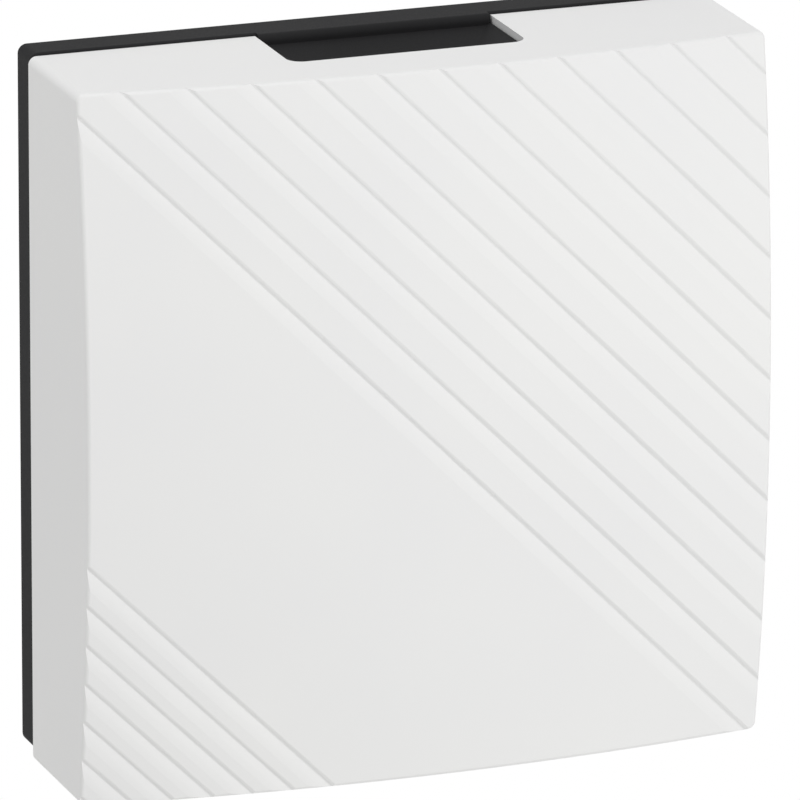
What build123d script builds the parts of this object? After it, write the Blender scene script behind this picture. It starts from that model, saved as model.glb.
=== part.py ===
from build123d import *
import math
import os

# A wired two-note door chime: a black base tray that screws to the wall, a domed white
# cover pressed over it, and inside a solenoid whose plunger strikes two steel tone bars.
# Millimetres. The wall face is y = 0, the front looks along -Y, Z is up and X is to the right.

# Fits
cover_slide_gap = 0.4
close_fit = 0.05
running_fit = 0.08
loose_fit = 0.2
thread_fit = 0.03
cut_overrun = 1.0

# Cover
cover_width = 138.0
cover_height = 140.0
cover_side_depth = 28.2
face_rise = 11.2
cover_wall = 2.0
face_wall = 2.2
cover_corner_radius = 1.6
cavity_corner_radius = 1.0
face_edge_radius = 0.8
cover_rib_width = 1.2
cover_rib_height = 2.5
cover_rib_offset = 33.0

# Flutes of the face, steps that run down to the right at 45 degrees
flute_depth = 0.42
flute_brow_radius = 0.9
flute_toe_radius = 0.5
flute_ramp_length = 3.2
flute_wall_lean = 50.0
flute_cutter_height = 4.0
flute_sweep_share = 1.1
upper_flute_count = 12
upper_flute_first = -2.35
upper_flute_pitch = 8.92
upper_flute_narrowing = 0.03
lower_flute_count = 7
lower_flute_first = -63.7
lower_flute_pitch = 5.56

# Finger notch in the top wall of the cover
notch_width = 47.6
notch_depth = 20.4
notch_corner_radius = 3.0

# Sound slots in the bottom wall of the cover
sound_slot_count = 7
sound_slot_width = 2.2
sound_slot_length = 9.0
sound_slot_pitch = 6.0
sound_slot_front_margin = 6.5

# Base tray
rim_depth = 7.6
rim_to_cover_gap = 0.4
rim_top_overhang = 0.4
rim_side_setback = 0.5
rim_bottom_setback = 1.6
rim_corner_radius = 1.8
rim_front_radius = 0.7
rim_core_width = 1.2
rim_core_depth = 5.4
tray_wall = 1.8
tray_height = 20.0
tray_floor = 2.2
floor_rib_width = 1.2
floor_rib_height = 1.4
floor_rib_offset = 30.0
floor_rib_level = 34.0
grip_rib_width = 1.2
grip_rib_offset = 44.0

# Finger scoop in the top of the tray
scoop_pad_drop = 1.6
scoop_side_gap = 0.4
scoop_start = 1.4
scoop_ridge_radius = 1.4
scoop_back_depth = 0.4
scoop_depth = 5.6
scoop_end_slope = 24.0
scoop_undercut = 1.2

# Wall fixings and cable entry in the floor
slot_spacing = 80.0
slot_height = -56.0
slot_length = 8.0
slot_width = 4.4
slot_pad_margin = 2.6
pad_height = 1.0
keyhole_height = 46.0
keyhole_head_radius = 4.2
keyhole_slot_radius = 2.1
keyhole_throw = 7.0
cable_entry_width = 24.0
cable_entry_height = 14.0
cable_entry_centre = -49.0
cable_lip_width = 1.4
cable_lip_height = 1.6

# Solenoid
coil_axis_depth = 17.4
yoke_floor_gap = 2.4
yoke_plate = 1.6
yoke_half_length = 20.0
yoke_half_width = 10.0
yoke_bend_radius = 1.2
ear_half_width = 5.0
ear_length = 10.0
ear_hole_radius = 1.7
boss_radius = 3.8
tenon_half_width = 2.5
tenon_projection = 1.0
coil_side_gap = 0.7
bobbin_flange_radius = 10.5
bobbin_flange = 1.3
bobbin_tube_wall = 1.0
bobbin_end_gap = 0.1
winding_radius = 9.2
tape_thickness = 0.3
sleeve_wall = 0.5
sleeve_projection = 1.5
coil_pin_radius = 0.45
coil_pin_length = 4.0
coil_pin_buried = 2.5
coil_pin_angle = 40.0

# Plunger with its strikers and spring
plunger_radius = 4.0
plunger_length = 56.0
plunger_chamfer = 0.5
striker_rest_gap_low = 1.8
striker_rest_gap_high = 8.5
striker_nose_radius = 2.6
striker_round = 1.6
striker_flange_radius = 5.6
striker_flange = 1.5
striker_collar_radius = 3.7
striker_collar = 1.5
spigot_radius = 1.5
spigot_length = 5.5
seat_washer_radius = 6.4
spring_wire_radius = 0.3
spring_coil_radius = 4.8
spring_turns = 6
spring_quarters = 4

# Tone bars, hung at the two still points of each
bar_spacing = 88.0
bar_thickness = 1.6
bar_width = 22.0
high_bar_length = 96.0
low_bar_length = 108.0
bar_corner_radius = 1.0
still_point_share = 0.224
grommet_hole_radius = 2.6
grommet_flange_radius = 4.3
grommet_flange = 1.2
grommet_bore_radius = 1.35
pin_radius = 1.25
pin_head_radius = 2.6
pin_head = 0.8
pin_engagement = 7.0
post_width = 8.0
post_depth = 8.5
post_head = 4.2
post_gap = 0.3

# Screws
screw_radius = 1.45
screw_head_radius = 2.8
screw_head = 1.9
screw_length = 5.2
screw_slot_width = 0.8
screw_slot_depth = 0.9
screw_head_round = 0.6

# Terminal block, two poles with screws that lift a square clamp washer
block_width = 30.0
block_height = 14.0
block_depth = 10.0
block_centre = -29.0
pole_spacing = 15.0
well_width = 8.8
well_depth = 5.2
well_end_wall = 2.2
block_edge_radius = 0.5
plate_thickness = 2.0
plate_end_margin = 2.0
tail_width = 3.0
tail_length = 3.4
tail_hole_radius = 0.6
terminal_thread_radius = 1.5
terminal_head_radius = 2.9
terminal_head = 2.0
terminal_reach = 3.4
clamp_width = 7.4
clamp_thickness = 0.9
block_screw_radius = 1.25
block_screw_head_radius = 2.3
block_screw_head = 1.6
block_screw_sink = 3.0
block_boss_radius = 2.8
block_boss_height = 3.6

# Coil leads
lead_radius = 0.6
lead_drop = 3.2
lead_bend_share = 0.45

# Places worked out from the sizes above
half_width = cover_width / 2
half_height = cover_height / 2
cover_back = -(rim_depth + rim_to_cover_gap)
face_corner = cover_back - cover_side_depth
face_front = face_corner - face_rise
face_radius = (half_width**2 + half_height**2 + face_rise**2) / (2 * face_rise)
face_centre = face_front + face_radius
inner_half_width = half_width - cover_wall
inner_half_height = half_height - cover_wall
tray_half_width = inner_half_width - cover_slide_gap
tray_half_height = inner_half_height - cover_slide_gap
rim_top = half_height + rim_top_overhang
rim_bottom = -(half_height - rim_bottom_setback)
floor_front = -tray_floor
coil_axis = -coil_axis_depth
yoke_back = floor_front - yoke_floor_gap
bar_inner_face = (bar_spacing - bar_thickness) / 2
bar_outer_face = (bar_spacing + bar_thickness) / 2
sleeve_radius = plunger_radius + running_fit + sleeve_wall
sleeve_end = yoke_half_length + sleeve_projection
plunger_left = -(bar_inner_face - striker_rest_gap_low - striker_flange - striker_nose_radius - striker_round)
plunger_right = plunger_left + plunger_length
post_face = bar_outer_face + grommet_flange + post_gap
block_front = floor_front - block_depth
well_floor = block_front + well_depth
pole_places = (-pole_spacing / 2, pole_spacing / 2)


def block(x_span, y_span, z_span):
    """Solid box between two X, two Y and two Z places."""
    centres = [(low + high) / 2 for low, high in (x_span, y_span, z_span)]
    sizes = [abs(high - low) for low, high in (x_span, y_span, z_span)]
    return Pos(*centres) * Box(*sizes)


def about(centre, half):
    """The two places half a size below and above a centre."""
    return (centre - half, centre + half)


def rod_x(radius, x_span, y, z):
    """Round rod along X."""
    return Pos(sum(x_span) / 2, y, z) * Rot(0, 90, 0) * Cylinder(radius, abs(x_span[1] - x_span[0]))


def rod_y(radius, y_span, x, z):
    """Round rod along Y."""
    return Pos(x, sum(y_span) / 2, z) * Rot(90, 0, 0) * Cylinder(radius, abs(y_span[1] - y_span[0]))


def rod_z(radius, z_span, x, y):
    """Round rod along Z."""
    return Pos(x, y, sum(z_span) / 2) * Cylinder(radius, abs(z_span[1] - z_span[0]))


def facing_plane(y):
    """Sketch plane parallel to the wall, with its outward side to the front."""
    return Plane.XZ.offset(-y)


def slab(sketch, y_back, y_front):
    """A sketch drawn as seen from the front, made solid from y_back to y_front."""
    return extrude(facing_plane(y_back) * sketch, amount=y_back - y_front)


def rounded_slab(x_half, z_span, radius, y_back, y_front):
    """Rectangular slab with round corners, parallel to the wall."""
    outline = RectangleRounded(2 * x_half, z_span[1] - z_span[0], radius)
    return slab(Pos(0, sum(z_span) / 2) * outline, y_back, y_front)


def turned(outline, y, z):
    """Ring or pin turned about an X axis, from (x, radius) points."""
    profile = make_face(Polyline(*outline, close=True))
    return Pos(0, y, z) * revolve(profile, axis=Axis.X)


def dome(radius):
    """Ball whose front cap is the domed face, or a surface parallel to it."""
    return Pos(0, face_centre, 0) * Sphere(radius)


def flute_profile():
    """Cross-section that one flute takes out, from round brow to toe to long gentle ramp."""
    lean = math.radians(flute_wall_lean)
    curve_drop = (flute_brow_radius + flute_toe_radius) * (1 - math.sin(lean))
    wall_length = (flute_depth - curve_drop) / math.cos(lean)
    sweep_angle = 90 - flute_wall_lean
    brow = JernArc((flute_brow_radius, 0), (-1, 0), flute_brow_radius, sweep_angle)
    wall = Line(brow @ 1, (brow @ 1) + (brow % 1) * wall_length)
    toe = JernArc(wall @ 1, wall % 1, flute_toe_radius, -sweep_angle)
    ramp_radius = (flute_ramp_length**2 + flute_depth**2) / (2 * flute_depth)
    ramp_angle = math.degrees(math.asin(flute_ramp_length / ramp_radius))
    ramp_end = Vector((toe @ 1).X - flute_ramp_length, 0)
    ramp = JernArc(ramp_end, (1, 0), ramp_radius, -ramp_angle)
    over = Vector(0, flute_cutter_height)
    start = brow @ 0
    cap = Polyline(ramp_end, ramp_end + over, start + over, start)
    return make_face([*brow.edges(), *wall.edges(), *toe.edges(), *ramp.edges(), *cap.edges()])


def flute_places():
    """Distance of each flute from the face's centre, measured towards the upper right."""
    upper = []
    for n in range(upper_flute_count):
        upper.append(upper_flute_first + upper_flute_pitch * n - upper_flute_narrowing * n**2)
    lower = [lower_flute_first - lower_flute_pitch * n for n in range(lower_flute_count)]
    return upper + lower


def flute_cutters():
    """All flutes as rings about one axis through the dome's centre, so each follows the dome."""
    corner_reach = (half_width + half_height) / math.sqrt(2)
    half_sweep = flute_sweep_share * math.degrees(math.asin(corner_reach / face_radius))
    centre = Vector(0, face_centre, 0)
    axis = Axis(centre, Vector(1, 0, 1))
    plane = Plane(origin=centre, x_dir=Vector(1, 0, 1), z_dir=Vector(1, 0, -1))
    profile = Pos(0, face_radius) * flute_profile()
    rings = []
    for place in flute_places():
        turn = -math.degrees(math.asin(place / face_radius))
        section = (plane * (Rot(0, 0, turn) * profile)).rotate(axis, -half_sweep)
        rings.append(revolve(section, axis=axis, revolution_arc=2 * half_sweep))
    return rings


def sound_slots():
    """Row of slots through the bottom wall of the cover, in front of the tray."""
    y_front = face_corner + sound_slot_front_margin
    first = -sound_slot_pitch * (sound_slot_count - 1) / 2
    return [
        block(
            about(first + sound_slot_pitch * n, sound_slot_width / 2),
            (y_front, y_front + sound_slot_length),
            (-half_height - cut_overrun, -inner_half_height + cut_overrun),
        )
        for n in range(sound_slot_count)
    ]


def finger_notch():
    """Notch through the top wall of the cover, open to the back and round at its front corners."""
    front = cover_back - notch_depth
    z_span = (inner_half_height - cut_overrun, half_height + cut_overrun)
    cut = block(about(0, notch_width / 2), (front, cover_back + cut_overrun), z_span)
    corners = cut.edges().filter_by(Axis.Z).group_by(Axis.Y)[0]
    return fillet(corners, notch_corner_radius)


def cover_ribs():
    """Two stiffening ribs along the inside of the face."""
    shell = dome(face_radius - face_wall + close_fit) - dome(face_radius - face_wall - cover_rib_height)
    lengths = about(0, inner_half_height - cavity_corner_radius)
    ribs = []
    for side in (-1, 1):
        x_span = about(side * cover_rib_offset, cover_rib_width / 2)
        ribs.append(block(x_span, (face_front, face_corner + cover_side_depth / 2), lengths) & shell)
    return ribs


def front_cover():
    """White moulded cover: domed and fluted face, four walls, finger notch and sound slots."""
    body = rounded_slab(
        half_width, (-half_height, half_height), cover_corner_radius, cover_back, face_front - cut_overrun
    )
    body = body & dome(face_radius)
    rim_limit = face_corner + face_edge_radius
    face_edges = body.edges().filter_by(lambda edge: edge.center().Y < rim_limit)
    body = fillet(face_edges, face_edge_radius)
    body -= flute_cutters()
    cavity = rounded_slab(
        inner_half_width,
        (-inner_half_height, inner_half_height),
        cavity_corner_radius,
        cover_back + cut_overrun,
        face_front,
    )
    body -= cavity & dome(face_radius - face_wall)
    body -= finger_notch()
    body -= sound_slots()
    return body + cover_ribs()


def rim_frame():
    """Outer rim of the base, cored from the back so that its wall stays even."""
    rim_half_width = half_width - rim_side_setback
    rim = rounded_slab(rim_half_width, (rim_bottom, rim_top), rim_corner_radius, 0, -rim_depth)
    front_edges = rim.edges().filter_by(lambda edge: edge.center().Y < cut_overrun - rim_depth)
    rim = fillet(front_edges, rim_front_radius)
    outer = rounded_slab(
        tray_half_width, (-tray_half_height, tray_half_height), rim_corner_radius, 0, -rim_core_depth
    )
    inner_half_x = tray_half_width - rim_core_width
    inner_half_z = tray_half_height - rim_core_width
    inner = rounded_slab(inner_half_x, (-inner_half_z, inner_half_z), rim_corner_radius, 0, -rim_core_depth)
    return rim - (outer - inner)


def tray_shell():
    """Rim, tray wall and floor in one moulding."""
    z_span = (-tray_half_height, tray_half_height)
    wall = rounded_slab(tray_half_width, z_span, rim_corner_radius, -rim_core_depth, -tray_height)
    inside_x = tray_half_width - rim_core_width - tray_wall
    inside_z = tray_half_height - rim_core_width - tray_wall
    low_room = rounded_slab(inside_x, (-inside_z, inside_z), cavity_corner_radius, floor_front, -rim_depth)
    upper_x = tray_half_width - tray_wall
    upper_z = tray_half_height - tray_wall
    high_room = rounded_slab(
        upper_x, (-upper_z, upper_z), cavity_corner_radius, -rim_depth, -tray_height - cut_overrun
    )
    return rim_frame() + wall - low_room - high_room


def scoop_section(y, half_top, pad_z, drop, margin=0):
    """Section of the finger scoop parallel to the wall: sloping ends and a flat floor."""
    half_floor = half_top - drop / math.tan(math.radians(scoop_end_slope)) + margin
    points = [
        (-half_top, pad_z + cut_overrun),
        (half_top, pad_z + cut_overrun),
        (half_top, pad_z),
        (half_floor, pad_z - drop),
        (-half_floor, pad_z - drop),
        (-half_top, pad_z),
    ]
    return facing_plane(y) * make_face(Polyline(*points, close=True))


def scoop_places():
    """Back place, front place and top of the scoop's pad."""
    back = cover_back - scoop_start
    front = cover_back - notch_depth - scoop_undercut
    pad_z = rim_top - scoop_pad_drop
    return back, front, pad_z


def scoop_body():
    """Pad under the notch, the ridge behind it and the pocket wall that closes it from below."""
    back, front, pad_z = scoop_places()
    half_pad = notch_width / 2 - scoop_side_gap
    notch_front = cover_back - notch_depth + scoop_side_gap
    under_z = tray_half_height - tray_wall
    pad = block(about(0, half_pad), (notch_front, -rim_depth + rim_front_radius), (under_z, pad_z))
    pad_corners = pad.edges().filter_by(Axis.Z).group_by(Axis.Y)[0]
    pad = fillet(pad_corners, notch_corner_radius - scoop_side_gap)
    ridge = block(about(0, half_pad), (back, -rim_depth + rim_front_radius), (under_z, rim_top))
    ridge_edge = ridge.edges().filter_by(Axis.X).group_by(Axis.Z)[-1].sort_by(Axis.Y)[0]
    ridge = fillet(ridge_edge, scoop_ridge_radius)
    roof_y = (front - tray_wall, -tray_height)
    roof = block(about(0, half_pad + tray_wall), roof_y, (under_z, tray_half_height))
    pocket = loft(
        [
            scoop_section(back, half_pad, under_z, scoop_back_depth),
            scoop_section(front - tray_wall, half_pad, under_z, scoop_depth, tray_wall),
        ],
        ruled=True,
    )
    return pad + ridge + roof + pocket


def scoop_cut():
    """The scoop's own hollow, deepest at the front where a fingertip hooks the cover."""
    back, front, pad_z = scoop_places()
    half_pad = notch_width / 2 - scoop_side_gap
    hollow = loft(
        [
            scoop_section(back, half_pad, pad_z, scoop_back_depth),
            scoop_section(front, half_pad, pad_z, scoop_depth),
        ],
        ruled=True,
    )
    return hollow


def floor_ribs():
    """Low ribs that stiffen the floor."""
    reach_x = tray_half_width - tray_wall
    reach_z = tray_half_height - tray_wall
    y_span = (floor_front - floor_rib_height, floor_front)
    ribs = []
    for side in (-1, 1):
        line = about(side * floor_rib_offset, floor_rib_width / 2)
        ribs.append(block(line, y_span, (-reach_z, reach_z)))
    high_line = about(floor_rib_level, floor_rib_width / 2)
    ribs.append(block((-reach_x, reach_x), y_span, high_line))
    return ribs


def grip_ribs():
    """Upright ribs on the tray wall that the cover grips."""
    y_span = (-tray_height, -rim_depth)
    reach = cover_slide_gap - close_fit
    ribs = []
    for side in (-1, 1):
        for place in (-grip_rib_offset, grip_rib_offset):
            line = about(place, grip_rib_width / 2)
            x_faces = sorted((side * (tray_half_width - close_fit), side * (tray_half_width + reach)))
            z_faces = sorted((side * (tray_half_height - close_fit), side * (tray_half_height + reach)))
            ribs.append(block(x_faces, y_span, line))
            ribs.append(block(line, y_span, z_faces))
    return ribs


def still_points(length):
    """Heights of the two still points of a ringing bar."""
    reach = length * (1 - 2 * still_point_share) / 2
    return (-reach, reach)


def pin_posts():
    """Posts beside the tone bars, each with a cross hole for a hanger pin."""
    posts = []
    holes = []
    for side, length in ((-1, low_bar_length), (1, high_bar_length)):
        for z in still_points(length):
            x_span = sorted((side * post_face, side * (post_face + post_depth)))
            y_span = (coil_axis - post_head, floor_front)
            posts.append(block(x_span, y_span, about(z, post_width / 2)))
            end = post_face + pin_engagement + loose_fit
            hole_span = sorted((side * (post_face - cut_overrun), side * end))
            holes.append(rod_x(pin_radius + thread_fit, hole_span, coil_axis, z))
    return posts, holes


def ear_hole_height():
    """Height of the yoke's fixing holes above and below the coil."""
    return yoke_half_width + ear_length / 2


def yoke_bosses():
    """Bosses that the solenoid yoke is screwed to, and their screw holes."""
    bosses = []
    holes = []
    end = yoke_back + screw_length - yoke_plate + loose_fit
    for side in (-1, 1):
        z = side * ear_hole_height()
        bosses.append(rod_y(boss_radius, (yoke_back, floor_front), 0, z))
        holes.append(rod_y(screw_radius + thread_fit, (yoke_back - cut_overrun, end), 0, z))
        corner = side * (yoke_half_length - boss_radius)
        bosses.append(rod_y(boss_radius, (yoke_back, floor_front), corner, 0))
    return bosses, holes


def block_boss():
    """Boss inside the foot of the terminal block, and its screw hole."""
    top = floor_front - block_boss_height
    boss = rod_y(block_boss_radius, (top, floor_front), 0, block_centre)
    hole = rod_y(block_screw_radius + thread_fit, (top - cut_overrun, -tray_floor / 2), 0, block_centre)
    return boss, hole


def wall_slots():
    """Raised pads for two level slots that take wall screws, and the slots."""
    pads = []
    slots = []
    outline = SlotOverall(slot_length, slot_width)
    pad_outline = SlotOverall(slot_length + 2 * slot_pad_margin, slot_width + 2 * slot_pad_margin)
    for side in (-1, 1):
        place = Pos(side * slot_spacing / 2, slot_height)
        pads.append(slab(place * pad_outline, floor_front, floor_front - pad_height))
        slots.append(slab(place * outline, cut_overrun, floor_front - pad_height - cut_overrun))
    return pads, slots


def keyhole():
    """Raised pad and keyhole that hangs the base on a first screw."""
    head = Circle(keyhole_head_radius)
    neck = Pos(0, keyhole_throw / 2) * Rectangle(2 * keyhole_slot_radius, keyhole_throw)
    top = Pos(0, keyhole_throw) * Circle(keyhole_slot_radius)
    place = Pos(0, keyhole_height)
    margin = keyhole_head_radius + slot_pad_margin
    pad_outline = Pos(0, keyhole_throw / 2) * SlotOverall(keyhole_throw + 2 * margin, 2 * margin, 90)
    pad = slab(place * pad_outline, floor_front, floor_front - pad_height)
    cut = slab(place * (head + neck + top), cut_overrun, floor_front - pad_height - cut_overrun)
    return pad, cut


def cable_entry():
    """Window for the bell wire, with a raised lip round it."""
    hole = Rectangle(cable_entry_width, cable_entry_height)
    lip_outline = Rectangle(cable_entry_width + 2 * cable_lip_width, cable_entry_height + 2 * cable_lip_width)
    place = Pos(0, cable_entry_centre)
    lip = slab(place * lip_outline, floor_front, floor_front - cable_lip_height)
    cut = slab(place * hole, cut_overrun, floor_front - cable_lip_height - cut_overrun)
    return lip, cut


def base_tray():
    """Black moulded base: rim against the wall, tray wall inside the cover, posts and bosses."""
    posts, pin_holes = pin_posts()
    bosses, boss_holes = yoke_bosses()
    foot_boss, foot_hole = block_boss()
    pads, slots = wall_slots()
    hang_pad, hang_cut = keyhole()
    lip, entry = cable_entry()
    body = tray_shell() + scoop_body() + grip_ribs() + floor_ribs()
    body = body + posts + bosses + [foot_boss] + pads + [hang_pad, lip]
    return body - scoop_cut() - pin_holes - boss_holes - [foot_hole] - slots - [hang_cut, entry]


def tone_bar(side, length):
    """Flat steel bar that stands on edge beside the plunger, with two grommet holes."""
    x_span = sorted((side * bar_inner_face, side * bar_outer_face))
    bar = block(x_span, about(coil_axis, bar_width / 2), about(0, length / 2))
    bar = fillet(bar.edges().filter_by(Axis.X), bar_corner_radius)
    hole_span = (x_span[0] - cut_overrun, x_span[1] + cut_overrun)
    for z in still_points(length):
        bar -= rod_x(grommet_hole_radius, hole_span, coil_axis, z)
    return bar


def bar_hangers():
    """Side of the case and height of each place where a bar hangs."""
    places = []
    for side, length in ((-1, low_bar_length), (1, high_bar_length)):
        places += [(side, z) for z in still_points(length)]
    return places


def bar_grommet(side, z):
    """Rubber grommet: a groove that holds the bar, between two flanges."""
    groove = grommet_hole_radius - close_fit
    inner = bar_inner_face - close_fit
    outer = bar_outer_face + close_fit
    outline = [
        (side * (inner - grommet_flange), grommet_bore_radius),
        (side * (inner - grommet_flange), grommet_flange_radius),
        (side * inner, grommet_flange_radius),
        (side * inner, groove),
        (side * outer, groove),
        (side * outer, grommet_flange_radius),
        (side * (outer + grommet_flange), grommet_flange_radius),
        (side * (outer + grommet_flange), grommet_bore_radius),
    ]
    return turned(outline, coil_axis, z)


def hanger_pin(side, z):
    """Headed steel pin through a grommet into its post."""
    head_face = bar_inner_face - close_fit - grommet_flange - close_fit
    outline = [
        (side * (head_face - pin_head), 0),
        (side * (head_face - pin_head), pin_head_radius),
        (side * head_face, pin_head_radius),
        (side * head_face, pin_radius),
        (side * (post_face + pin_engagement), pin_radius),
        (side * (post_face + pin_engagement), 0),
    ]
    return turned(outline, coil_axis, z)


def solenoid_yoke():
    """Steel strip bent to a U, with ears for its screws and a hole in each upright."""
    half = yoke_half_length
    front = coil_axis - bobbin_flange_radius - coil_side_gap
    outside = block(about(0, half), (front, yoke_back), about(0, yoke_half_width))
    back_edges = outside.edges().filter_by(Axis.Z).group_by(Axis.Y)[-1]
    outside = fillet(back_edges, yoke_bend_radius)
    inside_y = (front - cut_overrun, yoke_back - yoke_plate)
    inside = block(about(0, half - yoke_plate), inside_y, about(0, 2 * yoke_half_width))
    yoke = outside - inside
    tall = yoke_half_width + ear_length
    yoke += block(about(0, ear_half_width), (yoke_back - yoke_plate, yoke_back), about(0, tall))
    tenon_end = front - yoke_plate - tenon_projection
    for side in (-1, 1):
        x_span = sorted((side * half, side * (half - yoke_plate)))
        yoke += block(x_span, (tenon_end, front), about(0, tenon_half_width))
        hole_y = (yoke_back - yoke_plate - cut_overrun, yoke_back + cut_overrun)
        yoke -= rod_y(ear_hole_radius, hole_y, 0, side * ear_hole_height())
    return yoke - rod_x(sleeve_radius + close_fit, about(0, half + cut_overrun), coil_axis, 0)


def yoke_bridge():
    """Steel plate that closes the open side of the yoke over its tenons."""
    back = coil_axis - bobbin_flange_radius - coil_side_gap
    plate = block(about(0, yoke_half_length), (back - yoke_plate, back), about(0, yoke_half_width))
    for side in (-1, 1):
        near = yoke_half_length - yoke_plate - close_fit
        x_span = sorted((side * near, side * (yoke_half_length + cut_overrun)))
        y_span = (back - yoke_plate - cut_overrun, back + cut_overrun)
        plate -= block(x_span, y_span, about(0, tenon_half_width + close_fit))
    return plate


def bobbin_half_length():
    """Half the bobbin's length, just clear of the yoke's uprights."""
    return yoke_half_length - yoke_plate - bobbin_end_gap


def coil_pin_places():
    """Each coil pin's X place, and the Y and Z place where it leaves the flange."""
    x = bobbin_half_length() - bobbin_flange / 2
    turn = math.radians(coil_pin_angle)
    y = coil_axis + bobbin_flange_radius * math.sin(turn) / 2
    z = -math.sqrt(bobbin_flange_radius**2 - (y - coil_axis) ** 2)
    return [(side * x, y, z) for side in (-1, 1)]


def coil_bobbin():
    """Nylon bobbin: a tube between two round flanges, with holes for the coil pins."""
    half = bobbin_half_length()
    bore = sleeve_radius + close_fit
    tube = bore + bobbin_tube_wall
    face = half - bobbin_flange
    outline = [
        (-half, bore),
        (-half, bobbin_flange_radius),
        (-face, bobbin_flange_radius),
        (-face, tube),
        (face, tube),
        (face, bobbin_flange_radius),
        (half, bobbin_flange_radius),
        (half, bore),
    ]
    bobbin = turned(outline, coil_axis, 0)
    for x, y, z in coil_pin_places():
        bobbin -= rod_z(coil_pin_radius + thread_fit, (z - cut_overrun, z + coil_pin_buried), x, y)
    return bobbin


def coil_pin(place):
    """Tinned pin that stands out of a bobbin flange."""
    x, y, z = place
    return rod_z(coil_pin_radius, (z - coil_pin_length, z + coil_pin_buried - close_fit), x, y)


def ring_on_coil(inner_radius, outer_radius, half_length):
    """Ring round the coil's axis."""
    outline = [
        (-half_length, inner_radius),
        (-half_length, outer_radius),
        (half_length, outer_radius),
        (half_length, inner_radius),
    ]
    return turned(outline, coil_axis, 0)


def coil_winding():
    """Copper winding between the bobbin's flanges."""
    inner = sleeve_radius + close_fit + bobbin_tube_wall + close_fit
    return ring_on_coil(inner, winding_radius, bobbin_half_length() - bobbin_flange - close_fit)


def coil_tape():
    """Tape wrapped over the winding."""
    inner = winding_radius + close_fit
    return ring_on_coil(inner, inner + tape_thickness, bobbin_half_length() - bobbin_flange - close_fit)


def plunger_sleeve():
    """Brass tube that the plunger slides in."""
    return ring_on_coil(sleeve_radius - sleeve_wall, sleeve_radius, sleeve_end)


def spring_seat():
    """Washer round the end of the sleeve that the spring pushes on."""
    inner = sleeve_radius + close_fit
    outline = [
        (-sleeve_end, inner),
        (-sleeve_end, seat_washer_radius),
        (-yoke_half_length, seat_washer_radius),
        (-yoke_half_length, inner),
    ]
    return turned(outline, coil_axis, 0)


def plunger_core():
    """Soft iron plunger, drilled at both ends for the strikers."""
    core = rod_x(plunger_radius, (plunger_left, plunger_right), coil_axis, 0)
    core = chamfer(core.edges(), plunger_chamfer)
    hole = spigot_radius + thread_fit
    deep = spigot_length + loose_fit
    core -= rod_x(hole, (plunger_left - cut_overrun, plunger_left + deep), coil_axis, 0)
    return core - rod_x(hole, (plunger_right - deep, plunger_right + cut_overrun), coil_axis, 0)


def low_striker():
    """Nylon striker for the long bar, with the flange that the spring pushes on."""
    tip = -(bar_inner_face - striker_rest_gap_low)
    flange = plunger_left - striker_flange
    nose = rod_x(striker_nose_radius, (tip, plunger_left), coil_axis, 0)
    nose = fillet(nose.edges().group_by(Axis.X)[0], striker_round)
    nose += rod_x(striker_flange_radius, (flange, plunger_left), coil_axis, 0)
    return nose + rod_x(spigot_radius, (flange, plunger_left + spigot_length), coil_axis, 0)


def high_striker():
    """Longer nylon striker for the short bar."""
    tip = bar_inner_face - striker_rest_gap_high
    nose = rod_x(striker_nose_radius, (plunger_right, tip), coil_axis, 0)
    nose = fillet(nose.edges().group_by(Axis.X)[-1], striker_round)
    collar_end = plunger_right + striker_collar
    nose += rod_x(striker_collar_radius, (plunger_right, collar_end), coil_axis, 0)
    return nose + rod_x(spigot_radius, (plunger_right - spigot_length, collar_end), coil_axis, 0)


def spring_point(turn, x_start, pitch):
    """Place and direction of the spring wire after so many turns."""
    angle = 2 * math.pi * turn
    y = coil_axis + spring_coil_radius * math.cos(angle)
    z = spring_coil_radius * math.sin(angle)
    rise = pitch / (2 * math.pi)
    direction = Vector(rise, -spring_coil_radius * math.sin(angle), spring_coil_radius * math.cos(angle))
    return Vector(x_start + pitch * turn, y, z), direction.normalized()


def two_arcs(start, start_way, end, end_way):
    """Two arcs that leave start and reach end in the given directions and meet smoothly."""
    chord = end - start
    spread = 2 * (1 - start_way.dot(end_way))
    along = chord.dot(start_way + end_way)
    reach = (math.sqrt(along**2 + spread * chord.dot(chord)) - along) / spread
    middle = (start + end + (start_way - end_way) * reach) * 0.5
    middle_way = (end - end_way * reach - start - start_way * reach).normalized()
    return [Edge.make_tangent_arc(start, start_way, middle), Edge.make_tangent_arc(middle, middle_way, end)]


def return_spring():
    """Coil spring between the seat washer and the striker's flange, one unbroken wire."""
    inset = spring_wire_radius + close_fit
    x_start = plunger_left + inset
    x_end = -sleeve_end - inset
    pitch = (x_end - x_start) / spring_turns
    steps = spring_turns * spring_quarters
    stations = [spring_point(n / spring_quarters, x_start, pitch) for n in range(steps + 1)]
    edges = []
    for (start, start_way), (end, end_way) in zip(stations, stations[1:]):
        edges += two_arcs(start, start_way, end, end_way)
    path = Wire(edges)
    first, way = stations[0]
    section = Plane(origin=first, z_dir=way) * Circle(spring_wire_radius)
    spring = sweep(section, path=path)
    print_spring_gap(x_start, pitch)
    return spring


def print_spring_gap(x_start, pitch):
    """Prints the least gap between the spring's neighbouring turns, measured on points."""
    samples = 360
    least = pitch
    for n in range(samples):
        here, _ = spring_point(n / samples, x_start, pitch)
        for m in range(samples // 2, samples + samples // 2):
            there, _ = spring_point((n + m) / samples, x_start, pitch)
            least = min(least, (there - here).length)
    print("return_spring least gap between turns", round(least - 2 * spring_wire_radius, 3))


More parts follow.
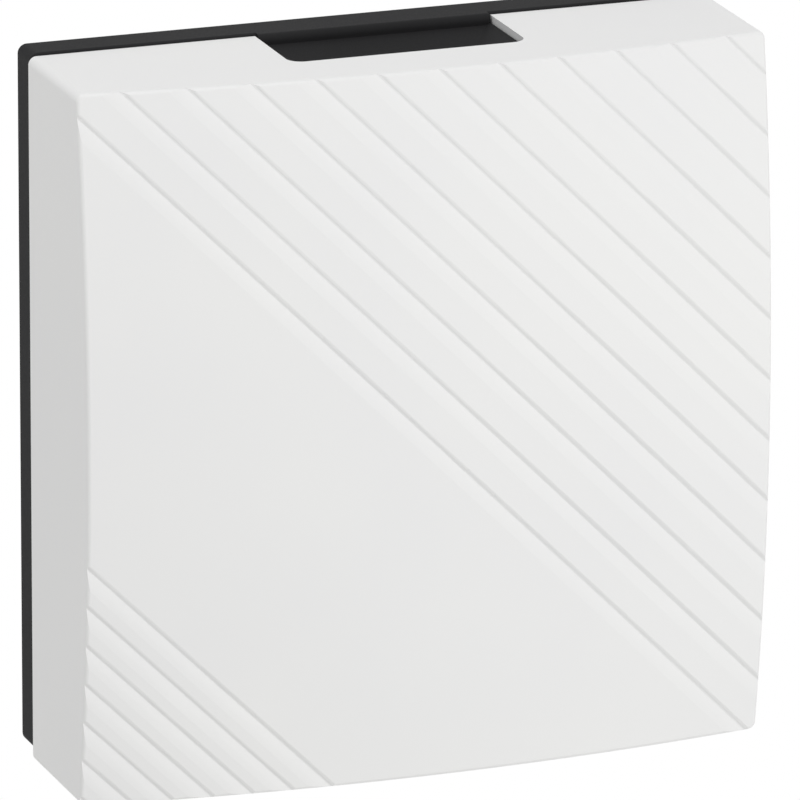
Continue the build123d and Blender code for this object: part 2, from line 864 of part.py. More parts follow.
def pan_screw(x, z, seat_y, radius, head_radius, head, length, round_radius):
    """Slotted screw driven from the front, with its head on seat_y."""
    screw = rod_y(head_radius, (seat_y - head, seat_y), x, z)
    screw = fillet(screw.edges().group_by(Axis.Y)[0], round_radius)
    screw += rod_y(radius, (seat_y - head / 2, seat_y + length), x, z)
    slot_y = (seat_y - head - cut_overrun, seat_y - head + screw_slot_depth)
    return screw - block(about(x, screw_slot_width / 2), slot_y, about(z, head_radius + cut_overrun))


def solenoid_screws():
    """Two screws through the yoke's ears."""
    seat = yoke_back - yoke_plate
    sizes = (seat, screw_radius, screw_head_radius, screw_head, screw_length, screw_head_round)
    return [pan_screw(0, side * ear_hole_height(), *sizes) for side in (-1, 1)]


def plate_span():
    """Lower end of a terminal plate and the end of its solder tail."""
    low = block_centre - block_height / 2 + plate_end_margin
    high = block_centre + block_height / 2
    return low, high


def terminal_block():
    """Moulded block with two wells, open at the front and at the bottom for the bell wire."""
    half_x = block_width / 2
    z_low = block_centre - block_height / 2
    z_high = block_centre + block_height / 2
    body = block(about(0, half_x), (block_front, floor_front), (z_low, z_high))
    body = fillet(body.edges().filter_by(Axis.Y), block_edge_radius)
    low, high = plate_span()
    for x in pole_places:
        sides = about(x, well_width / 2)
        well_y = (block_front - cut_overrun, well_floor)
        body -= block(sides, well_y, (z_low - cut_overrun, z_high - well_end_wall))
        plate_y = (well_floor - close_fit, well_floor + plate_thickness)
        body -= block(sides, plate_y, (low - close_fit, z_high - well_end_wall))
        tail = about(x, tail_width / 2 + close_fit)
        body -= block(tail, plate_y, (block_centre, z_high + cut_overrun))
        end = well_floor + terminal_reach + loose_fit
        body -= rod_y(terminal_thread_radius + loose_fit, (well_floor, end), x, block_centre)
    boss_top = floor_front - block_boss_height
    body -= rod_y(block_boss_radius + close_fit, (boss_top - close_fit, cut_overrun), 0, block_centre)
    seat = block_front + block_screw_sink
    body -= rod_y(block_screw_head_radius + loose_fit, (block_front - cut_overrun, seat), 0, block_centre)
    return body - rod_y(block_screw_radius + loose_fit, (seat - cut_overrun, cut_overrun), 0, block_centre)


def terminal_plate(x):
    """Brass plate with a threaded hole, and a solder tail out of the block's upper side."""
    low, high = plate_span()
    half = well_width / 2 - close_fit
    y_span = (well_floor, well_floor + plate_thickness)
    plate = block(about(x, half), y_span, (low, high - well_end_wall - close_fit))
    plate += block(about(x, tail_width / 2), y_span, (block_centre, high + tail_length))
    hole_span = (y_span[0] - cut_overrun, y_span[1] + cut_overrun)
    plate -= rod_y(terminal_thread_radius + thread_fit, hole_span, x, block_centre)
    return plate - rod_y(tail_hole_radius, hole_span, x, high + tail_length / 2)


def clamp_washer(x):
    """Square washer that presses the bell wire on the plate."""
    y_span = (well_floor - clamp_thickness, well_floor)
    washer = block(about(x, clamp_width / 2), y_span, about(block_centre, clamp_width / 2))
    washer = fillet(washer.edges().filter_by(Axis.Y), block_edge_radius)
    hole_span = (y_span[0] - cut_overrun, y_span[1] + cut_overrun)
    return washer - rod_y(terminal_thread_radius + running_fit, hole_span, x, block_centre)


def terminal_screw(x):
    """Clamp screw of one pole."""
    seat = well_floor - clamp_thickness
    reach = clamp_thickness + terminal_reach
    head = (terminal_head_radius, terminal_head, reach, screw_head_round)
    return pan_screw(x, block_centre, seat, terminal_thread_radius, *head)


def block_screw():
    """Screw that holds the terminal block on its boss."""
    seat = block_front + block_screw_sink
    reach = -seat - tray_floor / 2 - loose_fit
    head = (block_screw_head_radius, block_screw_head, reach, screw_head_round)
    return pan_screw(0, block_centre, seat, block_screw_radius, *head)


def coil_lead(pin_place, pole_x):
    """Insulated lead from a coil pin down and back to the tail of a terminal plate."""
    x, y, z = pin_place
    start = Vector(x, y, z - coil_pin_length)
    tail_z = block_centre + block_height / 2 + tail_length / 2
    end = Vector(pole_x, well_floor - lead_radius - close_fit, tail_z)
    below = start - Vector(0, 0, lead_drop)
    beside = Vector((below.X + end.X) / 2, (below.Y + end.Y) / 2, end.Z)
    points = [start, below, beside, end]
    radii = []
    for before, corner, after in zip(points, points[1:], points[2:]):
        runs = (corner - before, after - corner)
        turn = math.radians(runs[0].get_angle(runs[1]))
        shorter = min(run.length for run in runs)
        radii.append(shorter * lead_bend_share / math.tan(turn / 2))
    print("coil lead bend radii", [round(radius, 2) for radius in radii])
    path = FilletPolyline(*points, radius=radii)
    section = Plane(origin=path @ 0, z_dir=path % 0) * Circle(lead_radius)
    return sweep(section, path=path)


def write(name, solids):
    """Writes one sub-part, a solid or a group of solids, under its node's name."""
    shapes = solids if isinstance(solids, list) else [solids]
    found = [solid for shape in shapes for solid in shape.solids()]
    export_step(found[0] if len(found) == 1 else Compound(children=found), f"parts/{name}.step")


def main():
    """Builds every sub-part and writes it."""
    os.makedirs("parts", exist_ok=True)
    write("front_cover", front_cover())
    write("base_tray", base_tray())
    write("tone_bar_high", tone_bar(1, high_bar_length))
    write("tone_bar_low", tone_bar(-1, low_bar_length))
    write("bar_grommets", [bar_grommet(side, z) for side, z in bar_hangers()])
    write("hanger_pins", [hanger_pin(side, z) for side, z in bar_hangers()])
    write("solenoid_yoke", solenoid_yoke())
    write("yoke_bridge", yoke_bridge())
    write("coil_bobbin", coil_bobbin())
    write("coil_winding", coil_winding())
    write("coil_tape", coil_tape())
    write("coil_pins", [coil_pin(place) for place in coil_pin_places()])
    write("plunger_sleeve", plunger_sleeve())
    write("spring_seat", spring_seat())
    write("plunger_core", plunger_core())
    write("striker_low", low_striker())
    write("striker_high", high_striker())
    write("return_spring", return_spring())
    write("solenoid_screws", solenoid_screws())
    write("terminal_block", terminal_block())
    write("terminal_block_screw", block_screw())
    write("terminal_plates", [terminal_plate(x) for x in pole_places])
    for number, x in enumerate(pole_places, start=1):
        write(f"clamp_washer_{number}", clamp_washer(x))
        write(f"terminal_screw_{number}", terminal_screw(x))
    for side, place, x in zip(("left", "right"), coil_pin_places(), pole_places):
        write(f"coil_lead_{side}", coil_lead(place, x))


main()
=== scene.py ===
"""Dresses a two-note wired door chime: its finishes, its solder and spring, the studio and the camera."""

import logging
import math
from dataclasses import dataclass, field
from enum import Enum
from typing import Any

import bmesh
import bpy
from mathutils import Matrix, Vector

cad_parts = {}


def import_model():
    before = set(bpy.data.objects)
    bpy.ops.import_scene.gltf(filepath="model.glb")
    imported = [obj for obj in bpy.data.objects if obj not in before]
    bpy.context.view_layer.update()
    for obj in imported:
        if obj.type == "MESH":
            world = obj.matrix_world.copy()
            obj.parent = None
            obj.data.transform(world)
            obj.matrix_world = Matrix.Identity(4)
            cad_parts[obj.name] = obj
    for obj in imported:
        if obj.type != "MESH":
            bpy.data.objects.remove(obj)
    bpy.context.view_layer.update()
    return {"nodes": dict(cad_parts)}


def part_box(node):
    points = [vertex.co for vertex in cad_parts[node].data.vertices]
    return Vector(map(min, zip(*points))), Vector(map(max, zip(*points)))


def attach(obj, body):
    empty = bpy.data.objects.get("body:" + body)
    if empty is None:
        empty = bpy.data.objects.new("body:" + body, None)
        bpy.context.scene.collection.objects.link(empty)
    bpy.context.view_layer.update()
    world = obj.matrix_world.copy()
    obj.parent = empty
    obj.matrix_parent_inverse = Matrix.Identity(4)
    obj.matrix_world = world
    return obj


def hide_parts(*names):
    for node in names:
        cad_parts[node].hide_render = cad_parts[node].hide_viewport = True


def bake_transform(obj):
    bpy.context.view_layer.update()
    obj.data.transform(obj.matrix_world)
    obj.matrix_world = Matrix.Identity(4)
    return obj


MM = 0.001
MERGE_DISTANCE = 0.001 * MM
LOG = logging.getLogger("door_chime")

Colour = tuple[float, float, float, float]
Nodes = dict[str, bpy.types.Object]


class Direction(Enum):
    """Axis that a rolled, drawn or ground surface was worked along."""

    X = (1.0, 0.0, 0.0)
    Y = (0.0, 1.0, 0.0)
    Z = (0.0, 0.0, 1.0)


def to_linear(code: str) -> Colour:
    """Turns an sRGB hex colour to the linear colour that shaders take.

    Args:
        code: six hex digits.

    Returns:
        Red, green, blue and an alpha of 1.
    """
    shares = [int(code[i : i + 2], 16) / 255 for i in (0, 2, 4)]
    linear = [s / 12.92 if s <= 0.04045 else ((s + 0.055) / 1.055) ** 2.4 for s in shares]
    return (linear[0], linear[1], linear[2], 1.0)


def add_node(
    tree: bpy.types.NodeTree,
    kind: str,
    settings: dict[Any, Any] | None = None,
    links: dict[Any, bpy.types.NodeSocket] | None = None,
) -> bpy.types.Node:
    """Adds one node to a tree.

    Args:
        tree: the tree that takes the node.
        kind: the node's type name.
        settings: values by input name or number, or by the node's own attribute name; the two stops
            of a colour ramp are given under "stops", each a position and a hex colour.
        links: output sockets by the name or number of the input that takes them.

    Returns:
        The new node.
    """
    node = tree.nodes.new(kind)
    for key, value in (settings or {}).items():
        if key == "stops":
            for element, (position, code) in zip(node.color_ramp.elements, value):
                element.position = position
                element.color = to_linear(code)
        elif isinstance(key, int) or key in node.inputs:
            node.inputs[key].default_value = value
        else:
            setattr(node, key, value)
    for key, socket in (links or {}).items():
        tree.links.new(socket, node.inputs[key])
    return node


@dataclass(frozen=True)
class Finish:
    """What every finish has: its name, its colour, its gloss and how to make the material."""

    name: str
    colour: str
    roughness: float

    def material(self) -> bpy.types.Material:
        """Returns the finish's material, which is made at the first call.

        Returns:
            The material of the finish's name.
        """
        found = bpy.data.materials.get(self.name)
        if found is not None:
            return found
        made = bpy.data.materials.new(self.name)
        made.use_nodes = True
        tree = made.node_tree
        tree.nodes.clear()
        shader = add_node(
            tree,
            "ShaderNodeBsdfPrincipled",
            {"Base Color": to_linear(self.colour), "Roughness": self.roughness},
        )
        place = add_node(tree, "ShaderNodeTexCoord").outputs["Object"]
        self.dress(tree, shader, place)
        add_node(tree, "ShaderNodeOutputMaterial", links={"Surface": shader.outputs["BSDF"]})
        return made

    def dress(self, tree: bpy.types.NodeTree, shader: bpy.types.Node, place: bpy.types.NodeSocket) -> None:
        """Adds the finish's own pattern to the shader.

        Args:
            tree: the material's tree.
            shader: its Principled shader.
            place: object coordinates.
        """
        raise NotImplementedError


@dataclass(frozen=True)
class MouldedPlastic(Finish):
    """Injection moulded plastic, with the fine spark grain of its mould and faint flow clouding."""

    cloud_colour: str = "FFFFFF"
    cloud_mm: float = 45.0
    grain_mm: float = 0.35
    grain_height_mm: float = 0.004
    sheen: float = 0.0
    ior: float = 1.53
    specular: float = 0.5
    gloss_swing_share: float = 0.1

    def dress(self, tree: bpy.types.NodeTree, shader: bpy.types.Node, place: bpy.types.NodeSocket) -> None:
        """Adds clouding to the colour, and grain to the gloss and the relief.

        Args:
            tree: the material's tree.
            shader: its Principled shader.
            place: object coordinates.
        """
        shader.inputs["IOR"].default_value = self.ior
        shader.inputs["Specular IOR Level"].default_value = self.specular
        shader.inputs["Sheen Weight"].default_value = self.sheen
        cloud = add_node(
            tree,
            "ShaderNodeTexNoise",
            {"Scale": 1 / (self.cloud_mm * MM), "Detail": 2.0, "Roughness": 0.5},
            {"Vector": place},
        )
        tint = add_node(
            tree,
            "ShaderNodeValToRGB",
            {"stops": ((0.3, self.colour), (0.7, self.cloud_colour))},
            {"Fac": cloud.outputs["Fac"]},
        )
        tree.links.new(tint.outputs["Color"], shader.inputs["Base Color"])
        grain = add_node(
            tree,
            "ShaderNodeTexNoise",
            {"Scale": 1 / (self.grain_mm * MM), "Detail": 3.0, "Roughness": 0.6},
            {"Vector": place},
        )
        gloss = add_node(
            tree,
            "ShaderNodeMapRange",
            {
                "From Min": 0.25,
                "From Max": 0.75,
                "To Min": self.roughness * (1 - self.gloss_swing_share),
                "To Max": self.roughness * (1 + self.gloss_swing_share),
            },
            {"Value": grain.outputs["Fac"]},
        )
        tree.links.new(gloss.outputs["Result"], shader.inputs["Roughness"])
        relief = add_node(
            tree,
            "ShaderNodeBump",
            {"Strength": 1.0, "Distance": self.grain_height_mm * MM},
            {"Height": grain.outputs["Fac"]},
        )
        tree.links.new(relief.outputs["Normal"], shader.inputs["Normal"])


@dataclass(frozen=True)
class WorkedMetal(Finish):
    """Rolled, drawn or ground metal, with streaks along the way it was worked."""

    worn_colour: str = "FFFFFF"
    along: Direction = Direction.Z
    streak_mm: float = 0.25
    streak_length_mm: float = 18.0
    streak_height_mm: float = 0.002
    bloom_mm: float = 9.0
    gloss_swing_share: float = 0.25

    def dress(self, tree: bpy.types.NodeTree, shader: bpy.types.Node, place: bpy.types.NodeSocket) -> None:
        """Adds streaks to the gloss and the relief, and a cloudy bloom to the colour.

        Args:
            tree: the material's tree.
            shader: its Principled shader.
            place: object coordinates.
        """
        shader.inputs["Metallic"].default_value = 1.0
        across = 1 / (self.streak_mm * MM)
        down = 1 / (self.streak_length_mm * MM)
        scale = [down if share else across for share in self.along.value]
        stretch = add_node(tree, "ShaderNodeMapping", {"Scale": scale}, {"Vector": place})
        streaks = add_node(
            tree,
            "ShaderNodeTexNoise",
            {"Scale": 1.0, "Detail": 4.0, "Roughness": 0.6},
            {"Vector": stretch.outputs["Vector"]},
        )
        gloss = add_node(
            tree,
            "ShaderNodeMapRange",
            {
                "From Min": 0.3,
                "From Max": 0.7,
                "To Min": self.roughness * (1 - self.gloss_swing_share),
                "To Max": self.roughness * (1 + self.gloss_swing_share),
            },
            {"Value": streaks.outputs["Fac"]},
        )
        tree.links.new(gloss.outputs["Result"], shader.inputs["Roughness"])
        bloom = add_node(
            tree,
            "ShaderNodeTexNoise",
            {"Scale": 1 / (self.bloom_mm * MM), "Detail": 3.0, "Roughness": 0.6},
            {"Vector": place},
        )
        tint = add_node(
            tree,
            "ShaderNodeValToRGB",
            {"stops": ((0.3, self.colour), (0.72, self.worn_colour))},
            {"Fac": bloom.outputs["Fac"]},
        )
        tree.links.new(tint.outputs["Color"], shader.inputs["Base Color"])
        relief = add_node(
            tree,
            "ShaderNodeBump",
            {"Strength": 1.0, "Distance": self.streak_height_mm * MM},
            {"Height": streaks.outputs["Fac"]},
        )
        tree.links.new(relief.outputs["Normal"], shader.inputs["Normal"])


@dataclass(frozen=True)
class WoundLayer(Finish):
    """Wire or tape laid round the coil along X, turn beside turn."""

    # Colour of the painted shade in the grooves between turns.
    groove_shade_colour: str = "000000"
    turn_mm: float = 0.5
    turn_height_mm: float = 0.06
    metallic: float = 0.0

    def dress(self, tree: bpy.types.NodeTree, shader: bpy.types.Node, place: bpy.types.NodeSocket) -> None:
        """Adds a band for each turn, with painted shade darker in the grooves between them.

        Args:
            tree: the material's tree.
            shader: its Principled shader.
            place: object coordinates.
        """
        shader.inputs["Metallic"].default_value = self.metallic
        turns = add_node(
            tree,
            "ShaderNodeTexWave",
            {
                "wave_type": "BANDS",
                "bands_direction": "X",
                "wave_profile": "SIN",
                # The texture's bands follow the sine of 20 x scale x place, so that one band and its
                # groove are pi / (10 x scale) wide.
                "Scale": math.pi / 10 / (self.turn_mm * MM),
                "Distortion": 0.3,
                "Detail": 1.0,
            },
            {"Vector": place},
        )
        # Painted shade: the colour darkens in the grooves between the turns, where shade falls.
        tint = add_node(
            tree,
            "ShaderNodeValToRGB",
            {"stops": ((0.05, self.groove_shade_colour), (0.4, self.colour))},
            {"Fac": turns.outputs["Fac"]},
        )
        tree.links.new(tint.outputs["Color"], shader.inputs["Base Color"])
        relief = add_node(
            tree,
            "ShaderNodeBump",
            {"Strength": 1.0, "Distance": self.turn_height_mm * MM},
            {"Height": turns.outputs["Fac"]},
        )
        tree.links.new(relief.outputs["Normal"], shader.inputs["Normal"])


# White ABS from a finely sparked mould: an even clean white with a broad soft sheen.
WHITE_ABS = MouldedPlastic(
    "white_abs_moulded", "ECECEC", 0.42, cloud_colour="EEEEED", grain_mm=0.30, grain_height_mm=0.0012
)

# Black ABS from a coarser mould: a deep charcoal whose grain breaks the light into specks.
BLACK_ABS = MouldedPlastic(
    "black_abs_moulded",
    "1F1F20",
    0.72,
    cloud_colour="252526",
    grain_mm=0.28,
    grain_height_mm=0.012,
    specular=0.12,
)

# Cream nylon, left as it came from the mould: waxy and a little translucent to the eye.
NATURAL_NYLON = MouldedPlastic(
    "natural_nylon_moulded",
    "D9D5C4",
    0.48,
    cloud_colour="E2DECF",
    cloud_mm=12.0,
    grain_mm=0.2,
    grain_height_mm=0.003,
)

# White thermoset of the terminal block: harder and duller than the cover.
BLOCK_RESIN = MouldedPlastic(
    "terminal_resin_moulded",
    "DAD8CF",
    0.52,
    cloud_colour="D2D0C6",
    cloud_mm=10.0,
    grain_mm=0.2,
    grain_height_mm=0.004,
)

# Soft black rubber: almost no gloss, with a dusty bloom.
SOFT_RUBBER = MouldedPlastic(
    "black_rubber_moulded",
    "161616",
    0.78,
    cloud_colour="1F1F1E",
    cloud_mm=4.0,
    grain_mm=0.15,
    grain_height_mm=0.006,
    sheen=0.15,
    ior=1.5,
)

# Red PVC sleeve of the coil leads: extruded, so smooth and softly shining.
RED_PVC = MouldedPlastic(
    "red_pvc_extruded",
    "9C1C16",
    0.36,
    cloud_colour="A5221B",
    cloud_mm=6.0,
    grain_mm=0.3,
    grain_height_mm=0.001,
)

# Cold rolled steel of the tone bars, bright zinc plated: long fine streaks and a bluish bloom.
BAR_STEEL = WorkedMetal(
    "tone_bar_steel_zinc_plated",
    "AEB3B8",
    0.30,
    worn_colour="C2C6C8",
    along=Direction.Z,
    streak_mm=0.22,
    streak_length_mm=30.0,
)

# Steel strip of the yoke, plated after bending: greyer and cloudier than the bars.
YOKE_STEEL = WorkedMetal(
    "yoke_steel_zinc_plated",
    "9EA1A3",
    0.36,
    worn_colour="B6B8B7",
    along=Direction.X,
    streak_mm=0.3,
    streak_length_mm=8.0,
    bloom_mm=5.0,
)

# Turned and plated steel of the screws and pins: small, bright, with fine marks of the tool.
SCREW_STEEL = WorkedMetal(
    "screw_steel_turned",
    "B9BBBC",
    0.28,
    worn_colour="D0D1D0",
    along=Direction.Y,
    streak_mm=0.12,
    streak_length_mm=0.6,
    bloom_mm=2.0,
)

# Soft iron of the plunger, centreless ground: a dull grey with close streaks round it.
GROUND_IRON = WorkedMetal(
    "plunger_iron_ground",
    "8F9193",
    0.34,
    worn_colour="A4A6A6",
    along=Direction.Y,
    streak_mm=0.15,
    streak_length_mm=3.0,
    bloom_mm=4.0,
)

# Drawn spring wire: dark and polished, with short streaks of the die.
SPRING_WIRE = WorkedMetal(
    "spring_steel_drawn",
    "8C8D8F",
    0.25,
    worn_colour="A2A3A5",
    along=Direction.X,
    streak_mm=0.1,
    streak_length_mm=1.0,
    bloom_mm=2.0,
)

# Drawn brass tube of the sleeve: warm yellow, lightly tarnished.
DRAWN_BRASS = WorkedMetal(
    "sleeve_brass_drawn",
    "C2A25A",
    0.27,
    worn_colour="D2B46C",
    along=Direction.X,
    streak_mm=0.15,
    streak_length_mm=6.0,
    bloom_mm=3.0,
)

# Stamped and turned brass of the terminals: duller, with short marks of the press.
STAMPED_BRASS = WorkedMetal(
    "terminal_brass_stamped",
    "BFA266",
    0.33,
    worn_colour="D1B67C",
    along=Direction.Z,
    streak_mm=0.2,
    streak_length_mm=1.5,
    bloom_mm=2.0,
)

# Tinned brass of the coil pins, and the solder on them: soft silver white.
TINNED_BRASS = WorkedMetal(
    "tinned_brass_dipped",
    "C9CAC6",
    0.32,
    worn_colour="DADBD6",
    along=Direction.Z,
    streak_mm=0.4,
    streak_length_mm=0.8,
    bloom_mm=1.0,
)

# Enamelled copper wire of the winding: reddish brown, each turn a bright line between painted shade in
# the grooves. The real wire is about 0.3 mm thick, and its turns are drawn 0.5 mm apart so that they show.
ENAMELLED_COPPER = WoundLayer(
    "enamelled_copper_wound",
    "A4582C",
    0.30,
    # The grooves' colour is painted shade between the turns.
    groove_shade_colour="4A2410",
    turn_mm=0.5,
    turn_height_mm=0.08,
    metallic=0.85,
)

# Yellow polyester tape over the winding: thin and shiny, the turns beneath it just telling, with faint
# painted shade in the dips between them.
POLYESTER_TAPE = WoundLayer(
    "polyester_tape_wrapped", "CFA83C", 0.28, groove_shade_colour="BE9630", turn_mm=0.5, turn_height_mm=0.015
)


def make_piece(mesh: bmesh.types.BMesh, name: str, finish: Finish) -> bpy.types.Object:
    """Makes a built mesh a smooth object at the origin.

    Args:
        mesh: the mesh in the object's frame, which this frees.
        name: the piece's name.
        finish: its finish.

    Returns:
        The new object.
    """
    data = bpy.data.meshes.new(name)
    mesh.to_mesh(data)
    mesh.free()
    for polygon in data.polygons:
        polygon.use_smooth = True
    data.materials.append(finish.material())
    piece = bpy.data.objects.new(name, data)
    bpy.context.scene.collection.objects.link(piece)
    LOG.info("%s built with %d faces", name, len(data.polygons))
    return piece


@dataclass
class SubAssembly:
    """CAD nodes that go together, with the finish of each."""

    finishes: dict[str, Finish] = field(default_factory=dict)

    def dress(self, nodes: Nodes) -> None:
        """Gives the nodes their finishes.

        Args:
            nodes: all the CAD nodes by name.
        """
        for name, finish in self.finishes.items():
            for slot in nodes[name].material_slots:
                slot.material = finish.material()
            LOG.info("%s dressed in %s", name, finish.name)

    def build(self, nodes: Nodes) -> None:
        """Builds what the CAD nodes lack: nothing, unless a sub-assembly says otherwise."""


@dataclass
class Cover(SubAssembly):
    """The white front cover."""

    finishes: dict[str, Finish] = field(default_factory=lambda: {"front_cover": WHITE_ABS})


@dataclass
class Tray(SubAssembly):
    """The black base tray."""

    finishes: dict[str, Finish] = field(default_factory=lambda: {"base_tray": BLACK_ABS})


@dataclass
class ToneBars(SubAssembly):
    """The two bars with their grommets and hanger pins."""

    finishes: dict[str, Finish] = field(
        default_factory=lambda: {
            "tone_bar_high": BAR_STEEL,
            "tone_bar_low": BAR_STEEL,
            "bar_grommets": SOFT_RUBBER,
            "hanger_pins": SCREW_STEEL,
        }
    )


@dataclass
class Solenoid(SubAssembly):
    """The coil in its yoke, with the solder at its pins."""

    finishes: dict[str, Finish] = field(
        default_factory=lambda: {
            "solenoid_yoke": YOKE_STEEL,
            "yoke_bridge": YOKE_STEEL,
            "coil_bobbin": NATURAL_NYLON,
            "coil_winding": ENAMELLED_COPPER,
            "coil_tape": POLYESTER_TAPE,
            "coil_pins": TINNED_BRASS,
            "plunger_sleeve": DRAWN_BRASS,
            "spring_seat": SOFT_RUBBER,
            "solenoid_screws": SCREW_STEEL,
        }
    )
    solder_radius: float = 0.8 * MM
    solder_height: float = 1.3 * MM
    solder_sink_share: float = 0.1
    solder_steps: int = 24
    # The cone's points from its foot to its top, as shares of its height and its radius: a rounded
    # foot, hollow sides, and ends that close on the axis.
    solder_shares: tuple[tuple[float, float], ...] = (
        (0.0, 0.0),
        (0.04, 0.9),
        (0.1, 1.0),
        (0.25, 0.86),
        (0.55, 0.66),
        (1.0, 0.5),
        (1.02, 0.0),
    )

    def build(self, nodes: Nodes) -> None:
        """Builds the hollow-sided cone of solder where each lead meets its pin.

        Args:
            nodes: all the CAD nodes by name; not used.
        """
        low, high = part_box("coil_pins")
        pin_radius = (high.y - low.y) / 2
        depth = (low.y + high.y) / 2
        foot = low.z - self.solder_sink_share * self.solder_height
        for side, across in (("left", low.x + pin_radius), ("right", high.x - pin_radius)):
            mesh = self.solder_cone(Vector((across, depth, foot)))
            cone = make_piece(mesh, f"pin_solder_{side}", TINNED_BRASS)
            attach(cone, "base")

    def solder_cone(self, foot: Vector) -> bmesh.types.BMesh:
        """Spins the cone's profile round an upright axis into a closed skin.

        Args:
            foot: middle of the cone's foot.

        Returns:
            The cone's mesh.
        """
        mesh = bmesh.new()
        profile = [
            mesh.verts.new(foot + Vector((0, self.solder_radius * wide, self.solder_height * along)))
            for along, wide in self.solder_shares
        ]
        edges = [mesh.edges.new(pair) for pair in zip(profile, profile[1:])]
        bmesh.ops.spin(
            mesh,
            geom=[*profile, *edges],
            cent=foot,
            axis=Direction.Z.value,
            angle=2 * math.pi,
            steps=self.solder_steps,
            use_merge=True,
        )
        bmesh.ops.remove_doubles(mesh, verts=mesh.verts, dist=MERGE_DISTANCE)
        bmesh.ops.recalc_face_normals(mesh, faces=mesh.faces)
        return mesh


@dataclass
class Plunger(SubAssembly):
    """The plunger with its strikers, and the spring that returns it."""

    finishes: dict[str, Finish] = field(
        default_factory=lambda: {
            "plunger_core": GROUND_IRON,
            "striker_low": NATURAL_NYLON,
            "striker_high": NATURAL_NYLON,
        }
    )

    def build(self, nodes: Nodes) -> None:
        """Builds the spring that stretches between its seat and the striker's flange.

        Args:
            nodes: all the CAD nodes by name.
        """
        mesh = bmesh.new()
        mesh.from_mesh(nodes["return_spring"].data)
        bmesh.ops.remove_doubles(mesh, verts=mesh.verts, dist=MERGE_DISTANCE)
        spring = make_piece(mesh, "coil_spring", SPRING_WIRE)
        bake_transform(spring)
        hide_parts("return_spring")


@dataclass
class Terminals(SubAssembly):
    """The terminal block with its plates, clamps and screws, and the leads to the coil."""

    finishes: dict[str, Finish] = field(
        default_factory=lambda: {
            "terminal_block": BLOCK_RESIN,
            "terminal_block_screw": SCREW_STEEL,
            "terminal_plates": STAMPED_BRASS,
            "clamp_washer_1": SCREW_STEEL,
            "clamp_washer_2": SCREW_STEEL,
            "terminal_screw_1": STAMPED_BRASS,
            "terminal_screw_2": STAMPED_BRASS,
            "coil_lead_left": RED_PVC,
            "coil_lead_right": RED_PVC,
        }
    )


@dataclass(frozen=True)
class SoftBox:
    """A large soft lamp that faces the object; its angles are degrees and its lengths metres."""

    name: str
    azimuth: float
    elevation: float
    distance: float
    size: float
    power: float

    def place(self, target: Vector) -> None:
        """Puts the lamp round the target, facing it.

        Args:
            target: the place that it faces.
        """
        turn = math.radians(self.azimuth)
        rise = math.radians(self.elevation)
        away = Vector((math.sin(turn) * math.cos(rise), -math.cos(turn) * math.cos(rise), math.sin(rise)))
        data = bpy.data.lights.new(self.name, "AREA")
        data.shape = "DISK"
        data.size = self.size
        data.energy = self.power
        lamp = bpy.data.objects.new(self.name, data)
        facing = away.to_track_quat("Z", "Y").to_matrix().to_4x4()
        lamp.matrix_world = Matrix.Translation(target + away * self.distance) @ facing
        lamp.visible_camera = False
        bpy.context.scene.collection.objects.link(lamp)
        LOG.info("%s placed", self.name)


def background_rays(tree: bpy.types.NodeTree) -> bpy.types.NodeSocket:
    """Tells the rays that show the background from those that light the object.

    Args:
        tree: the tree of the world or of a stage material.

    Returns:
        An output of 1 for camera, glossy and transmission rays, and of 0 for the rest.
    """
    path = add_node(tree, "ShaderNodeLightPath")
    seen = add_node(
        tree,
        "ShaderNodeMath",
        {"operation": "MAXIMUM"},
        {0: path.outputs["Is Camera Ray"], 1: path.outputs["Is Glossy Ray"]},
    )
    shown = add_node(
        tree,
        "ShaderNodeMath",
        {"operation": "MAXIMUM"},
        {0: seen.outputs[0], 1: path.outputs["Is Transmission Ray"]},
    )
    return shown.outputs[0]


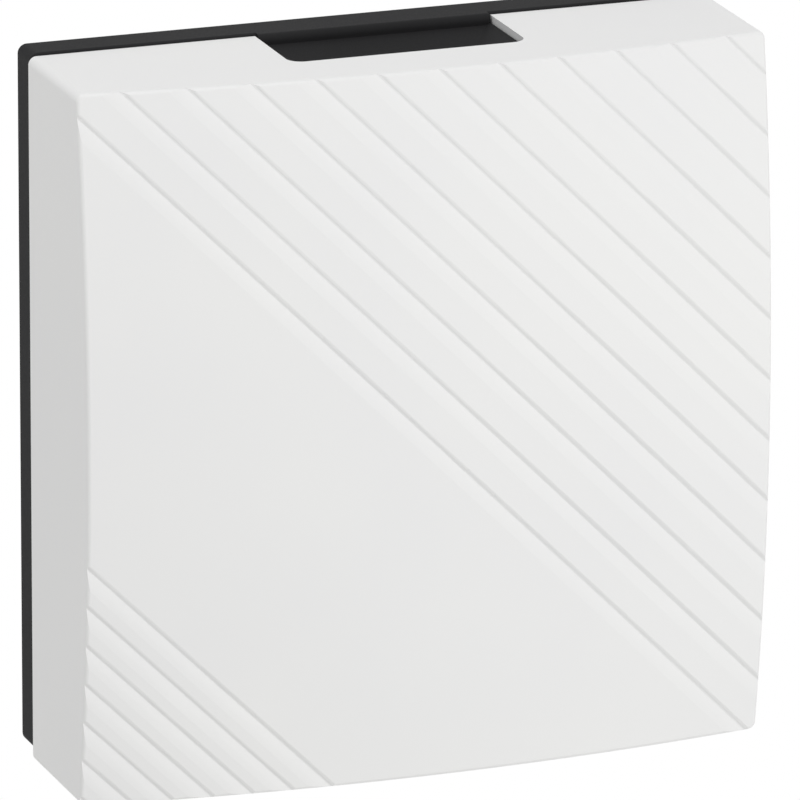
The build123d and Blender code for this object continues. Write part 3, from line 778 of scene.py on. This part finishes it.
@dataclass(frozen=True)
class Studio:
    """A white sweep with soft light, and the camera of the reference view.

    Lengths are metres, but for the camera's sensor, which is in millimetres.
    """

    fill: float = 0.63
    floor_drop: float = 2.2
    floor_radius: float = 6.0
    floor_segments: int = 96
    floor_colour: str = "E6E6E4"
    floor_lift: float = 0.6
    lamps: tuple[SoftBox, ...] = (
        SoftBox("right_softbox", 40.0, -18.0, 1.6, 1.8, 9.1),
        SoftBox("top_left_softbox", -32.0, 58.0, 1.2, 1.3, 5.1),
    )
    # The camera, fitted to the corners of the cover. Its turns are radians. Its offset is the cover's
    # back middle as the camera sees it, to the right, ahead and up, as shares of the cover's width.
    camera_yaw: float = 0.35309
    camera_pitch: float = 0.29673
    camera_roll: float = 0.00365
    camera_offset_shares: tuple[float, float, float] = (-0.03894, 14.92041, 0.03125)
    camera_near: float = 0.1
    camera_far: float = 50.0
    focal_pixels: float = 10719.6
    frame_pixels: float = 800.0
    sensor: float = 36.0

    def world(self) -> None:
        """Lights the object evenly, and shows the camera, gloss and glass a plain white."""
        world = bpy.data.worlds.new("white_sweep")
        bpy.context.scene.world = world
        world.use_nodes = True
        tree = world.node_tree
        tree.nodes.clear()
        strength = add_node(
            tree,
            "ShaderNodeMath",
            {"operation": "MULTIPLY_ADD", 1: 1 - self.fill, 2: self.fill},
            {0: background_rays(tree)},
        )
        light = add_node(
            tree, "ShaderNodeBackground", {"Color": (1.0, 1.0, 1.0, 1.0)}, {"Strength": strength.outputs[0]}
        )
        add_node(tree, "ShaderNodeOutputWorld", links={"Surface": light.outputs[0]})

    def floor_paint(self) -> bpy.types.Material:
        """Makes the floor's pale matt paint, lifted to white for the rays that show the background.

        Returns:
            The material.
        """
        material = bpy.data.materials.new("pale_floor_paint")
        material.use_nodes = True
        tree = material.node_tree
        tree.nodes.clear()
        lift = add_node(
            tree, "ShaderNodeMath", {"operation": "MULTIPLY", 1: self.floor_lift}, {0: background_rays(tree)}
        )
        paint = add_node(tree, "ShaderNodeBsdfDiffuse", {"Color": to_linear(self.floor_colour)})
        glow = add_node(tree, "ShaderNodeEmission", links={"Strength": lift.outputs[0]})
        both = add_node(tree, "ShaderNodeAddShader", links={0: paint.outputs[0], 1: glow.outputs[0]})
        add_node(tree, "ShaderNodeOutputMaterial", links={"Surface": both.outputs[0]})
        return material

    def floor(self, lowest: float) -> None:
        """Lays the pale floor below the object.

        Args:
            lowest: height of the object's lowest point.
        """
        mesh = bmesh.new()
        bmesh.ops.create_circle(mesh, cap_ends=True, radius=self.floor_radius, segments=self.floor_segments)
        bmesh.ops.translate(mesh, verts=mesh.verts, vec=Vector((0, 0, lowest - self.floor_drop)))
        data = bpy.data.meshes.new("pale_floor")
        mesh.to_mesh(data)
        mesh.free()
        data.materials.append(self.floor_paint())
        floor = bpy.data.objects.new("pale_floor", data)
        bpy.context.scene.collection.objects.link(floor)

    def camera(self, low: Vector, high: Vector) -> None:
        """Sets the camera of the reference view.

        Args:
            low: the cover's lowest corner.
            high: the cover's highest corner.
        """
        turn = (
            Matrix.Rotation(self.camera_roll, 3, "Y")
            @ Matrix.Rotation(self.camera_pitch, 3, "X")
            @ Matrix.Rotation(self.camera_yaw, 3, "Z")
        )
        right, ahead, up = turn
        offset = Vector(self.camera_offset_shares) * (high.x - low.x)
        place = Vector((0, high.y, 0)) - turn.transposed() @ offset
        data = bpy.data.cameras.new("reference_camera")
        data.sensor_width = self.sensor
        data.lens = self.focal_pixels / self.frame_pixels * self.sensor
        data.clip_start = self.camera_near
        data.clip_end = self.camera_far
        camera = bpy.data.objects.new("reference_camera", data)
        columns = Matrix((right, up, -ahead)).transposed()
        camera.matrix_world = Matrix.Translation(place) @ columns.to_4x4()
        bpy.context.scene.collection.objects.link(camera)
        bpy.context.scene.camera = camera

    def build(self) -> None:
        """Builds the world, the floor, the lamps and the camera."""
        low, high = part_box("front_cover")
        self.world()
        self.floor(low.z)
        for lamp in self.lamps:
            lamp.place((low + high) / 2)
        self.camera(low, high)
        bpy.context.scene.view_settings.view_transform = "Standard"


def main() -> None:
    """Loads the frame, dresses every sub-assembly, and sets the studio."""
    logging.basicConfig(level=logging.INFO, format="%(name)s: %(message)s")
    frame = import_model()
    for part in (Cover(), Tray(), ToneBars(), Solenoid(), Plunger(), Terminals()):
        part.dress(frame["nodes"])
        part.build(frame["nodes"])
    Studio().build()


if __name__ == "__main__":
    main()
